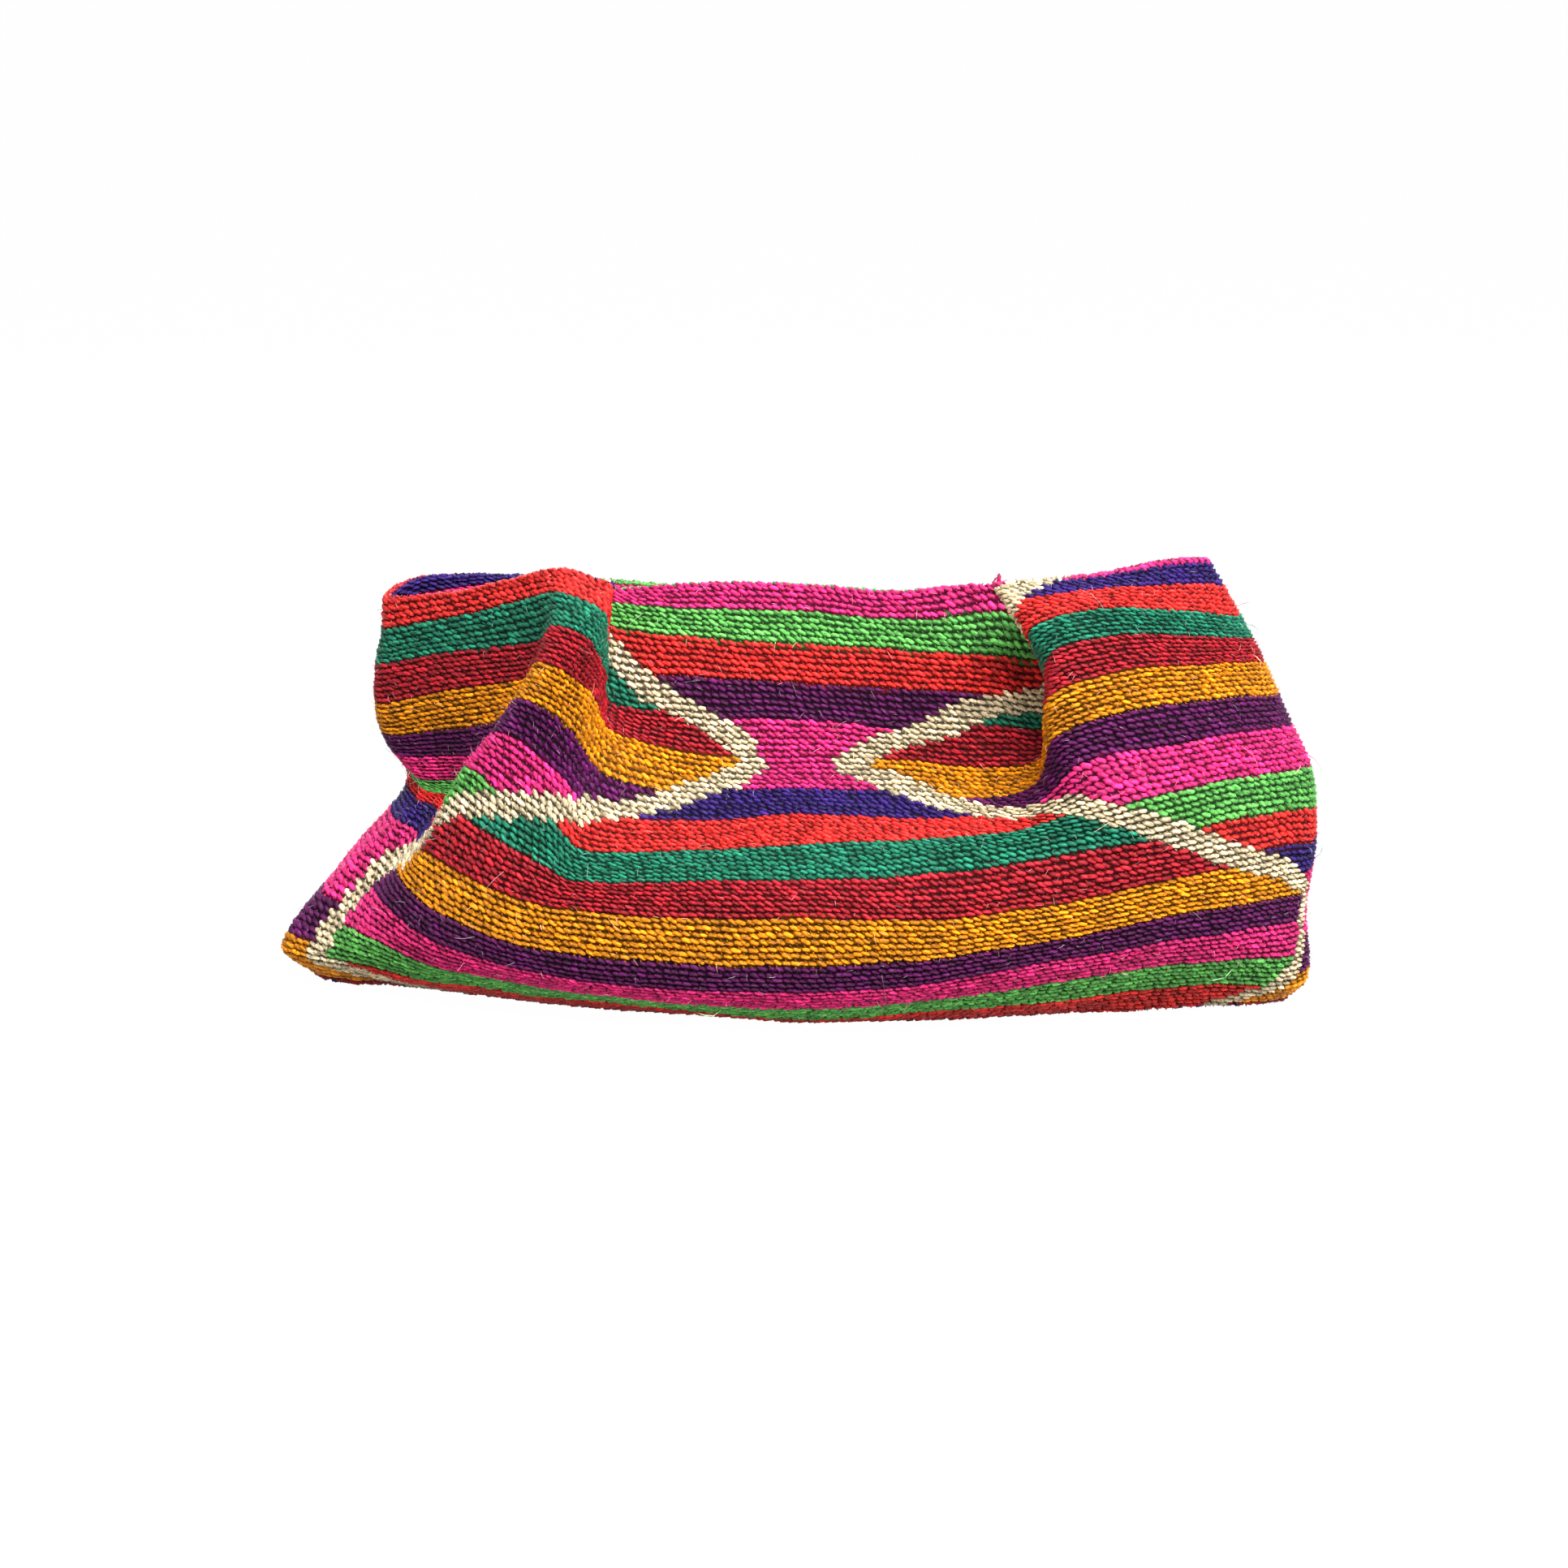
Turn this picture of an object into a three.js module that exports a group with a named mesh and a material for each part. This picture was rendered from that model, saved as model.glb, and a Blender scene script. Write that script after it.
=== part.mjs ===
// A slouching crocheted clutch: one soft shell, open along the top, with a round rim.
// Millimetres, +Z up. The front faces -Y, and the origin is on the floor under the middle of the bag.

import * as THREE from 'three';

// Driving dimensions
const LENGTH = 376; // from corner to corner of the base
const DEPTH = 116; // from the front of the belly to its back
const HEIGHT = 162; // from the floor to the top of the right-hand lobe
const WALL = 4; // thickness of the crocheted fabric

// The fabric: stitches are counted round the bag from the middle of the front, and rows up from the
// waist of the pattern.
const STITCH_COUNT = 224; // stitches in one round

// Wale lines, the upright lines of stitches that carry the form, each with its stitch number.
// A point is [row, across, back, up]. The last three are hundredths of half the length, of half the
// depth and of the height. Each line runs from the edge of the flat base to the rim.
const WALES = [
  // Back of the left-hand lobe
  [-86, [[-54, -43, 55, 0], [-49, -45, 73, 4], [-38, -46, 92, 16], [-27, -46, 95, 33], [-10, -44, 90, 58],
    [6, -42, 83, 77], [14, -40, 78, 85], [18, -39, 72, 88]]],
  [-67, [[-54, -85, 42, 0], [-49, -92, 42, 7], [-38, -86, 45, 26], [-27, -77, 47, 42], [-10, -80, 52, 58],
    [6, -78, 57, 75], [11, -77, 61, 82], [15, -75, 63, 88]]],
  // Left-hand end, creased in half way up
  [-57, [[-54, -93, -4, 0], [-49, -100, -13, 9], [-38, -87, -6, 28], [-27, -74, 2, 42], [-18, -74, 9, 46],
    [-10, -79, 15, 52], [-2, -82, 19, 60], [6, -82, 23, 71], [10, -81, 27, 77], [14, -81, 31, 85]]],
  // Hollow wall between the end and the fold
  [-51, [[-54, -87, -16, 0], [-49, -94, -28, 8], [-38, -81, -22, 26], [-27, -69, -13, 41],
    [-18, -66, -8, 47], [-10, -67, -4, 54], [-2, -69, -2, 64], [6, -68, 0, 76], [10, -67, 5, 82],
    [14, -67, 13, 88]]],
  [-44, [[-54, -77, -18, 0], [-49, -83, -38, 7], [-38, -76, -52, 24], [-27, -69, -47, 38],
    [-18, -63, -36, 49], [-10, -58, -29, 58], [-2, -52, -28, 70], [6, -49, -26, 81], [10, -50, -19, 88],
    [14, -53, -7, 93]]],
  // Fold that runs down the left-hand lobe to the corner
  [-38, [[-54, -66, -25, 0], [-49, -70, -47, 5], [-38, -67, -68, 18], [-27, -66, -65, 39],
    [-18, -60, -65, 55], [-10, -53, -66, 66], [-2, -47, -63, 77], [6, -43, -55, 87], [10, -42, -43, 92],
    [15, -43, -23, 97]]],
  // Inner edge of the left-hand lobe
  [-32, [[-54, -54, -35, 0], [-49, -58, -56, 5], [-38, -56, -79, 15], [-27, -57, -77, 34],
    [-18, -53, -69, 50], [-10, -47, -65, 63], [-2, -41, -59, 74], [6, -36, -47, 83], [11, -34, -34, 88],
    [16, -34, -13, 93]]],
  // Pleat down to the middle panel
  [-27, [[-54, -44, -42, 0], [-49, -48, -60, 4], [-38, -46, -84, 13], [-27, -46, -84, 30],
    [-18, -44, -72, 43], [-10, -41, -58, 56], [-2, -37, -40, 68], [6, -35, -18, 74], [13, -35, -4, 83],
    [20, -36, 12, 91]]],
  // Middle panel, which leans back above the belly
  [-22, [[-54, -34, -48, 0], [-49, -37, -66, 4], [-38, -36, -89, 12], [-27, -37, -89, 29],
    [-17, -37, -69, 38], [-9, -35, -45, 48], [-2, -34, -16, 58], [6, -35, 1, 66], [15, -36, 14, 81],
    [20, -36, 23, 87], [23, -36, 30, 89]]],
  [-12, [[-54, -17, -52, 0], [-49, -19, -69, 3], [-38, -17, -92, 11], [-27, -17, -92, 29],
    [-18, -17, -69, 38], [-10, -18, -41, 44], [-2, -18, -14, 53], [6, -18, 2, 64], [15, -19, 16, 79],
    [20, -19, 26, 86], [23, -19, 33, 90]]],
  [0, [[-54, 4, -54, 0], [-49, 5, -71, 2], [-38, 6, -95, 12], [-27, 6, -96, 30], [-18, 5, -69, 40],
    [-10, 3, -40, 46], [-2, 1, -14, 53], [6, 1, 2, 64], [15, 0, 17, 78], [23, 0, 34, 90]]],
  [12, [[-54, 26, -48, 0], [-49, 28, -64, 4], [-38, 28, -88, 14], [-27, 28, -89, 30], [-19, 26, -69, 41],
    [-10, 23, -41, 46], [-2, 21, -14, 53], [6, 20, 2, 63], [15, 19, 17, 77], [23, 19, 33, 89]]],
  [22, [[-54, 44, -34, 0], [-49, 47, -51, 5], [-38, 47, -80, 18], [-27, 46, -81, 32], [-19, 44, -68, 44],
    [-10, 40, -48, 48], [-2, 38, -21, 53], [6, 38, -3, 63], [15, 37, 10, 77], [22, 35, 27, 91]]],
  // Pleat up to the right-hand lobe
  [28, [[-54, 54, -25, 0], [-49, 58, -42, 6], [-38, 58, -73, 20], [-27, 57, -75, 34], [-20, 55, -69, 46],
    [-10, 47, -57, 53], [-2, 46, -32, 57], [6, 48, -14, 64], [14, 47, -2, 76], [21, 43, 8, 89]]],
  // Right-hand lobe, from its inner edge to the end of the bag
  [34, [[-54, 65, -18, 0], [-49, 70, -32, 7], [-38, 69, -64, 22], [-27, 68, -68, 37], [-18, 64, -70, 51],
    [-10, 52, -68, 62], [-2, 48, -62, 71], [6, 47, -55, 82], [12, 43, -45, 88], [20, 37, -18, 95]]],
  [41, [[-54, 78, -5, 0], [-49, 82, -21, 7], [-38, 81, -50, 23], [-27, 80, -54, 39], [-18, 75, -59, 54],
    [-10, 66, -61, 66], [-2, 61, -56, 77], [6, 58, -50, 87], [12, 56, -42, 93], [20, 55, -22, 98]]],
  [49, [[-54, 89, 2, 0], [-49, 94, -9, 6], [-38, 93, -24, 23], [-27, 91, -27, 39], [-18, 87, -33, 55],
    [-10, 81, -37, 67], [-2, 76, -35, 78], [6, 73, -31, 86], [12, 71, -26, 92], [20, 68, -10, 100]]],
  [57, [[-54, 94, 17, 0], [-49, 98, 9, 7], [-38, 97, 0, 23], [-27, 98, 0, 38], [-18, 97, 0, 54],
    [-10, 92, 1, 66], [-2, 88, 3, 76], [6, 85, 5, 83], [12, 82, 8, 89], [20, 77, 13, 99]]],
  // Back of the right-hand lobe, and the middle of the back
  [67, [[-54, 87, 36, 0], [-49, 92, 38, 7], [-38, 93, 39, 24], [-27, 94, 41, 39], [-10, 87, 44, 63],
    [6, 79, 43, 81], [13, 75, 42, 89], [19, 70, 36, 94]]],
  [86, [[-54, 44, 54, 0], [-49, 46, 72, 4], [-38, 47, 90, 17], [-27, 47, 93, 34], [-10, 45, 88, 59],
    [6, 43, 81, 77], [13, 41, 77, 84], [18, 39, 71, 88]]],
  [112, [[-54, 0, 63, 0], [-49, 0, 81, 3], [-38, 0, 98, 14], [-27, 0, 100, 31], [-10, 0, 96, 56],
    [6, 0, 90, 74], [13, 0, 86, 81], [18, 0, 80, 84]]],
];

// Edges of the shell: close together round the folds of the front, wider apart along the back.
const FRONT_STITCH_COUNT = 60; // stitches from the middle of the front to the back
const FRONT_STEPS = 60;
const BACK_STEPS = 20;
const STEPS_UP = 28; // from the base to the rim

const UPWARD = new THREE.Vector3(0, 0, 1);

// A smooth curve through points that stand at set places along it.
function smoothThrough(stops) {
  const slopes = stops.map((stop, i) => {
    const before = stops[Math.max(i - 1, 0)];
    const after = stops[Math.min(i + 1, stops.length - 1)];
    return after.point.clone().sub(before.point).divideScalar(after.at - before.at);
  });
  return (at) => {
    let i = stops.length - 2;
    while (i > 0 && stops[i].at > at) i -= 1;
    const span = stops[i + 1].at - stops[i].at;
    const t = (at - stops[i].at) / span;
    return new THREE.Vector3()
      .addScaledVector(stops[i].point, (1 + 2 * t) * (1 - t) ** 2)
      .addScaledVector(slopes[i], t * (1 - t) ** 2 * span)
      .addScaledVector(stops[i + 1].point, t ** 2 * (3 - 2 * t))
      .addScaledVector(slopes[i + 1], t ** 2 * (t - 1) * span);
  };
}

// One wale as a curve, 0 at the base and 1 at the rim.
function waleCurve([stitch, points]) {
  const first = points[0][0];
  const last = points[points.length - 1][0];
  const stops = points.map(([row, across, back, up]) => ({
    at: (row - first) / (last - first),
    point: new THREE.Vector3(across * LENGTH / 200, back * DEPTH / 200, up * HEIGHT / 100),
  }));
  return { stitch, pointAt: smoothThrough(stops) };
}

// Points of one closed round of stitches, at a share of the way up.
function roundOfPoints(wales, share, stitches) {
  const stops = wales.map(({ stitch, pointAt }) => ({ at: stitch, point: pointAt(share) }));
  const shifted = (some, by) => some.map(({ at, point }) => ({ at: at + by, point }));
  const before = shifted(stops.slice(-2), -STITCH_COUNT);
  const after = shifted(stops.slice(0, 2), STITCH_COUNT);
  const pointAt = smoothThrough([...before, ...stops, ...after]);
  return stitches.map((stitch) => pointAt(stitch > STITCH_COUNT / 2 ? stitch - STITCH_COUNT : stitch));
}

// The same rounds, one wall's thickness further in.
function insetRounds(rounds) {
  return rounds.map((round, j) => round.map((point, i) => {
    const count = round.length;
    const along = round[(i + 2) % count].clone().sub(round[(i + count - 2) % count]);
    if (j === 0) {
      const outwardOnFloor = along.cross(UPWARD).normalize();
      return point.clone().addScaledVector(outwardOnFloor, -WALL).addScaledVector(UPWARD, WALL);
    }
    const above = rounds[Math.min(j + 1, rounds.length - 1)][i];
    const outward = along.cross(above.clone().sub(rounds[j - 1][i])).normalize();
    return point.clone().addScaledVector(outward, -WALL);
  }));
}

// The top of the rim, half a wall above the last outer and inner rounds.
function crownRound(outer, inner) {
  const top = outer.length - 1;
  return outer[top].map((point, i) => {
    const rise = point.clone().sub(outer[top - 1][i]).setLength(WALL / 2);
    return point.clone().lerp(inner[top][i], 0.5).add(rise);
  });
}

// One closed body: rounds of points from the base up, over the rim and down to the floor inside, and
// the two faces of the flat base.
function shellGeometry(rounds) {
  const count = rounds[0].length;
  const faces = [];
  for (let j = 0; j < rounds.length - 1; j += 1) {
    for (let i = 0; i < count; i += 1) {
      const next = (i + 1) % count;
      const low = j * count;
      const high = low + count;
      faces.push(low + i, low + next, high + next, low + i, high + next, high + i);
    }
  }
  const inside = (rounds.length - 1) * count;
  const plan = (round) => round.map(({ x, y }) => new THREE.Vector2(x, y));
  const { triangulateShape } = THREE.ShapeUtils;
  triangulateShape(plan(rounds[0]), []).forEach(([a, b, c]) => faces.push(a, c, b));
  triangulateShape(plan(rounds[rounds.length - 1]), []).forEach(([a, b, c]) => {
    faces.push(inside + a, inside + b, inside + c);
  });
  const corners = rounds.flat().flatMap((point) => point.toArray());
  const geometry = new THREE.BufferGeometry();
  geometry.setAttribute('position', new THREE.Float32BufferAttribute(corners, 3));
  geometry.setIndex(faces);
  geometry.computeVertexNormals();
  return geometry;
}

function crochetedPouch() {
  const frontStep = 2 * FRONT_STITCH_COUNT / FRONT_STEPS;
  const backStep = (STITCH_COUNT - 2 * FRONT_STITCH_COUNT) / BACK_STEPS;
  const front = Array.from({ length: FRONT_STEPS }, (_, i) => i * frontStep - FRONT_STITCH_COUNT);
  const back = Array.from({ length: BACK_STEPS }, (_, i) => i * backStep + FRONT_STITCH_COUNT);
  const shares = Array.from({ length: STEPS_UP + 1 }, (_, i) => i / STEPS_UP);
  const wales = WALES.map(waleCurve);
  const outer = shares.map((share) => roundOfPoints(wales, share, [...front, ...back]));
  const inner = insetRounds(outer);
  const rounds = [...outer, crownRound(outer, inner), ...inner.reverse()];
  const fibre = new THREE.MeshStandardMaterial({ color: 0xb8304a, roughness: 0.85, metalness: 0 });
  const mesh = new THREE.Mesh(shellGeometry(rounds), fibre);
  mesh.name = 'crocheted_pouch';
  return mesh;
}

const clutch = new THREE.Group();
clutch.add(crochetedPouch());

export default clutch;
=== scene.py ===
"""A slouching crocheted clutch bag, striped in dyed plant fibre with cream zigzag lines.

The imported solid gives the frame. Every stitch is a small twisted grain of fibre, placed by its stitch
number round the bag and its row number up the bag.
"""

import math

import bpy
import numpy as np
from bpy.props import FloatProperty, FloatVectorProperty, IntProperty, PointerProperty
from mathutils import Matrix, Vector


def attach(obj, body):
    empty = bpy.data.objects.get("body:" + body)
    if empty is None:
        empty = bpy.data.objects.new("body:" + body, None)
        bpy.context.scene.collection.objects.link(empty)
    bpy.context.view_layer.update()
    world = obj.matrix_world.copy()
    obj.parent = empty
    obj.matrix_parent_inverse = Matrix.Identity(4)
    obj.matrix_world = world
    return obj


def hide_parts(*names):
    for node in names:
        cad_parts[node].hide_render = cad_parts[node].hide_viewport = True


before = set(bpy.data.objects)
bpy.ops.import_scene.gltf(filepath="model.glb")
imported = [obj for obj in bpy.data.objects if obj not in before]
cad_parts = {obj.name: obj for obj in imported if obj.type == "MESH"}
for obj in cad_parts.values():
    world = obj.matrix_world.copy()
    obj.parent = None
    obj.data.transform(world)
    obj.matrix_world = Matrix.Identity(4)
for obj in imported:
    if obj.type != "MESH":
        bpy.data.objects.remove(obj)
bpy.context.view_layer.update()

bl_info = {
    "name": "Crocheted Clutch",
    "version": (1, 0, 0),
    "blender": (4, 5, 0),
    "location": "3D View > Sidebar > Clutch",
    "description": "Builds a crocheted clutch bag, stitch by stitch",
    "category": "Object",
}

POUCH_NODE = "crocheted_pouch"

ROUND = 224  # stitches in one round
BASE_ROW = -54  # row at the edge of the flat base
ROUND_STEP = 6 / 7  # rows from one round of stitches to the next

# Wale lines, the upright lines of stitches that carry the form: stitch number, then points of
# [row, across, back, up]. The last three are hundredths of half the length, half the depth and the height.
WALES = (
    (-86, ((-54, -43, 55, 0), (-49, -45, 73, 4), (-38, -46, 92, 16), (-27, -46, 95, 33), (-10, -44, 90, 58),
           (6, -42, 83, 77), (14, -40, 78, 85), (18, -39, 72, 88))),
    (-67, ((-54, -85, 42, 0), (-49, -92, 42, 7), (-38, -86, 45, 26), (-27, -77, 47, 42), (-10, -80, 52, 58),
           (6, -78, 57, 75), (11, -77, 61, 82), (15, -75, 63, 88))),
    (-57, ((-54, -93, -4, 0), (-49, -100, -13, 9), (-38, -87, -6, 28), (-27, -74, 2, 42), (-18, -74, 9, 46),
           (-10, -79, 15, 52), (-2, -82, 19, 60), (6, -82, 23, 71), (10, -81, 27, 77), (14, -81, 31, 85))),
    (-51, ((-54, -87, -16, 0), (-49, -94, -28, 8), (-38, -81, -22, 26), (-27, -69, -13, 41), (-18, -66, -8, 47),
           (-10, -67, -4, 54), (-2, -69, -2, 64), (6, -68, 0, 76), (10, -67, 5, 82), (14, -67, 13, 88))),
    (-44, ((-54, -77, -18, 0), (-49, -83, -38, 7), (-38, -76, -52, 24), (-27, -69, -47, 38),
           (-18, -63, -36, 49), (-10, -58, -29, 58), (-2, -52, -28, 70), (6, -49, -26, 81), (10, -50, -19, 88),
           (14, -53, -7, 93))),
    (-38, ((-54, -66, -25, 0), (-49, -70, -47, 5), (-38, -67, -68, 18), (-27, -66, -65, 39),
           (-18, -60, -65, 55), (-10, -53, -66, 66), (-2, -47, -63, 77), (6, -43, -55, 87), (10, -42, -43, 92),
           (15, -43, -23, 97))),
    (-32, ((-54, -54, -35, 0), (-49, -58, -56, 5), (-38, -56, -79, 15), (-27, -57, -77, 34),
           (-18, -53, -69, 50), (-10, -47, -65, 63), (-2, -41, -59, 74), (6, -36, -47, 83), (11, -34, -34, 88),
           (16, -34, -13, 93))),
    (-27, ((-54, -44, -42, 0), (-49, -48, -60, 4), (-38, -46, -84, 13), (-27, -46, -84, 30),
           (-18, -44, -72, 43), (-10, -41, -58, 56), (-2, -37, -40, 68), (6, -35, -18, 74), (13, -35, -4, 83),
           (20, -36, 12, 91))),
    (-22, ((-54, -34, -48, 0), (-49, -37, -66, 4), (-38, -36, -89, 12), (-27, -37, -89, 29),
           (-17, -37, -69, 38), (-9, -35, -45, 48), (-2, -34, -16, 58), (6, -35, 1, 66), (15, -36, 14, 81),
           (20, -36, 23, 87), (23, -36, 30, 89))),
    (-12, ((-54, -17, -52, 0), (-49, -19, -69, 3), (-38, -17, -92, 11), (-27, -17, -92, 29),
           (-18, -17, -69, 38), (-10, -18, -41, 44), (-2, -18, -14, 53), (6, -18, 2, 64), (15, -19, 16, 79),
           (20, -19, 26, 86), (23, -19, 33, 90))),
    (0, ((-54, 4, -54, 0), (-49, 5, -71, 2), (-38, 6, -95, 12), (-27, 6, -96, 30), (-18, 5, -69, 40),
         (-10, 3, -40, 46), (-2, 1, -14, 53), (6, 1, 2, 64), (15, 0, 17, 78), (23, 0, 34, 90))),
    (12, ((-54, 26, -48, 0), (-49, 28, -64, 4), (-38, 28, -88, 14), (-27, 28, -89, 30), (-19, 26, -69, 41),
          (-10, 23, -41, 46), (-2, 21, -14, 53), (6, 20, 2, 63), (15, 19, 17, 77), (23, 19, 33, 89))),
    (22, ((-54, 44, -34, 0), (-49, 47, -51, 5), (-38, 47, -80, 18), (-27, 46, -81, 32), (-19, 44, -68, 44),
          (-10, 40, -48, 48), (-2, 38, -21, 53), (6, 38, -3, 63), (15, 37, 10, 77), (22, 35, 27, 91))),
    (28, ((-54, 54, -25, 0), (-49, 58, -42, 6), (-38, 58, -73, 20), (-27, 57, -75, 34), (-20, 55, -69, 46),
          (-10, 47, -57, 53), (-2, 46, -32, 57), (6, 48, -14, 64), (14, 47, -2, 76), (21, 43, 8, 89))),
    (34, ((-54, 65, -18, 0), (-49, 70, -32, 7), (-38, 69, -64, 22), (-27, 68, -68, 37), (-18, 64, -70, 51),
          (-10, 52, -68, 62), (-2, 48, -62, 71), (6, 47, -55, 82), (12, 43, -45, 88), (20, 37, -18, 95))),
    (41, ((-54, 78, -5, 0), (-49, 82, -21, 7), (-38, 81, -50, 23), (-27, 80, -54, 39), (-18, 75, -59, 54),
          (-10, 66, -61, 66), (-2, 61, -56, 77), (6, 58, -50, 87), (12, 56, -42, 93), (20, 55, -22, 98))),
    (49, ((-54, 89, 2, 0), (-49, 94, -9, 6), (-38, 93, -24, 23), (-27, 91, -27, 39), (-18, 87, -33, 55),
          (-10, 81, -37, 67), (-2, 76, -35, 78), (6, 73, -31, 86), (12, 71, -26, 92), (20, 68, -10, 100))),
    (57, ((-54, 94, 17, 0), (-49, 98, 9, 7), (-38, 97, 0, 23), (-27, 98, 0, 38), (-18, 97, 0, 54),
          (-10, 92, 1, 66), (-2, 88, 3, 76), (6, 85, 5, 83), (12, 82, 8, 89), (20, 77, 13, 99))),
    (67, ((-54, 87, 36, 0), (-49, 92, 38, 7), (-38, 93, 39, 24), (-27, 94, 41, 39), (-10, 87, 44, 63),
          (6, 79, 43, 81), (13, 75, 42, 89), (19, 70, 36, 94))),
    (86, ((-54, 44, 54, 0), (-49, 46, 72, 4), (-38, 47, 90, 17), (-27, 47, 93, 34), (-10, 45, 88, 59),
          (6, 43, 81, 77), (13, 41, 77, 84), (18, 39, 71, 88))),
    (112, ((-54, 0, 63, 0), (-49, 0, 81, 3), (-38, 0, 98, 14), (-27, 0, 100, 31), (-10, 0, 96, 56),
           (6, 0, 90, 74), (13, 0, 86, 81), (18, 0, 80, 84))),
)

# Stripes from the base up: a yarn, and the row at which it stops.
FRONT_STRIPES = (
    ("blue", -54), ("red", -49), ("green", -44), ("pink", -39), ("purple", -34), ("mustard", -28),
    ("crimson", -22), ("teal", -16), ("red", -10), ("blue", -5), ("pink", 5), ("purple", 10), ("red", 15),
    ("green", 20), ("pink", 24), ("green", 99),
)
SIDE_STRIPES = (
    ("crimson", -53), ("mustard", -47), ("purple", -42), ("pink", -31), ("blue", -27), ("red", -22),
    ("green", -17), ("pink", -11), ("purple", -6), ("mustard", 0), ("crimson", 6), ("teal", 11), ("red", 16),
    ("blue", 20), ("pink", 99),
)

# Middle of the cream line on each half of the front: a row, and the stitches from the middle of the bag.
LEFT_LINE = (
    (-54, 38), (-51, 45), (-49, 49), (-46, 50), (-41, 51), (-37, 51.5), (-34, 49.5), (-31, 46.5), (-28, 45),
    (-26.5, 42.5), (-23.5, 38.5), (-19.5, 33), (-15.2, 27.3), (-10.3, 21.5), (-7, 14.5), (-4, 9), (-1, 5.3),
    (2, 7.5), (5, 11.5), (8, 16.5), (12, 21), (18, 29), (24, 36), (36, 46),
)
RIGHT_LINE = (
    (-54, 42), (-50, 46), (-47, 49), (-44, 51.5), (-41, 53), (-38, 54), (-34, 55), (-30, 49.5), (-26, 42),
    (-22, 37), (-18, 32), (-14, 28.2), (-10, 21.8), (-7, 16.3), (-4, 11), (-1, 5.8), (2, 9.5), (5, 15),
    (8, 20.5), (11, 27), (13, 30.5), (15, 32.5), (19, 36), (24, 40), (36, 47),
)
# Half the width across each cream line: a row, and a number of stitches.
LEFT_WIDTHS = (
    (-54, 1.4), (-38, 1.5), (-34, 2.1), (-30, 1.5), (-22, 1.3), (-13, 1.05), (-6, 1.35), (36, 1.4),
)
RIGHT_WIDTHS = ((-54, 1.2), (-42, 1.2), (-30, 1.5), (36, 1.4))
SLANT = 1.15  # how strongly a cream line widens along its round where it slants
BACK_REACH = 46  # stitches from the middle of the back that its cream lines reach at most
# Waves by which a hand-made round wanders up and down: rows, then the angle for each stitch and each row.
WAVES = ((0.12, 0.23, 0.4), (0.08, 0.61, -0.3))
YARNS = ("red", "teal", "crimson", "mustard", "purple", "pink", "green", "blue", "cream")
YARN_MATERIAL = "dyed_fibre_yarn"

COLUMNS = np.arange(ROUND) - ROUND / 2  # stitch numbers of one whole round
DOME = (-15, 40, 90, 140, 195)  # degrees round a grain of yarn at which its corners lie
PLUMP = 0.6  # power of a grain's swell: below 1, it keeps its width nearer to its points
START_RISE, END_RISE = 0.4, 0.2  # rise of a grain's two points, which sets their painted shade
CROWN_RISE, ROUND_RISE = 0.35, 0.65  # shares of a grain's crown and of its place in the round in its rise, which sets its painted shade
ROUND_EDGE = 0.7  # rounds from the middle of a round to where its share of the rise ends
MAP_SHARE = 0.5  # share of its own size that a stitch takes in a map for baking
MAP_MARGIN = np.array((2, 1.5))  # stitches and rows left free round such a map
WHITE = (1.0, 1.0, 1.0, 1.0)


def dye(red, green, blue):
    """A dyed colour as the screen shows it, 0 to 255, in the renderer's own units."""
    return tuple(c / 12.92 if c < 0.04045 else ((c + 0.055) / 1.055) ** 2.4
                 for c in (red / 255, green / 255, blue / 255))


def size_property(name, description, default):
    return FloatProperty(name=name, description=description, default=default, unit="LENGTH", precision=4)


def count_property(name, description, default):
    return IntProperty(name=name, description=description, default=default)


def yarn_property(name, red, green, blue):
    return FloatVectorProperty(name=name, description=f"Colour of the {name.lower()} yarn", subtype="COLOR",
                               size=3, min=0, max=1, default=dye(red, green, blue))


class ClutchSizes(bpy.types.PropertyGroup):
    """Sizes of the bag and its stitches"""

    length: size_property("Length", "From corner to corner of the base", 0.376)
    depth: size_property("Depth", "From the front of the belly to its back", 0.116)
    height: size_property("Height", "From the floor to the top of the right-hand lobe", 0.162)
    wall: size_property("Wall", "Thickness of the fabric", 0.004)
    row_height: size_property("Row height", "Height of one row where the fabric isn't pulled", 0.0026)
    stitch_width: size_property("Stitch width", "Width of one stitch along its round", 0.003)
    stitch_depth: size_property("Stitch depth", "How far a stitch stands out of the fabric", 0.0017)
    roll: size_property("Roll", "Radius of the rim where it turns in", 0.0022)
    lip_rows: count_property("Lip rows", "Rows of the rim that are turned in", 9)
    fibres: count_property("Loose fibres", "Fine fibres that stand out of the yarn", 1600)
    seed: count_property("Seed", "Start of every random draw", 11)


class ClutchYarns(bpy.types.PropertyGroup):
    """Colours of the yarns"""

    red: yarn_property("Red", 226, 45, 41)
    teal: yarn_property("Teal", 27, 122, 93)
    crimson: yarn_property("Crimson", 172, 26, 40)
    mustard: yarn_property("Mustard", 230, 143, 6)
    purple: yarn_property("Purple", 86, 9, 76)
    pink: yarn_property("Pink", 236, 46, 126)
    green: yarn_property("Green", 98, 180, 84)
    blue: yarn_property("Blue", 47, 23, 102)
    cream: yarn_property("Cream", 236, 216, 176)


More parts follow.
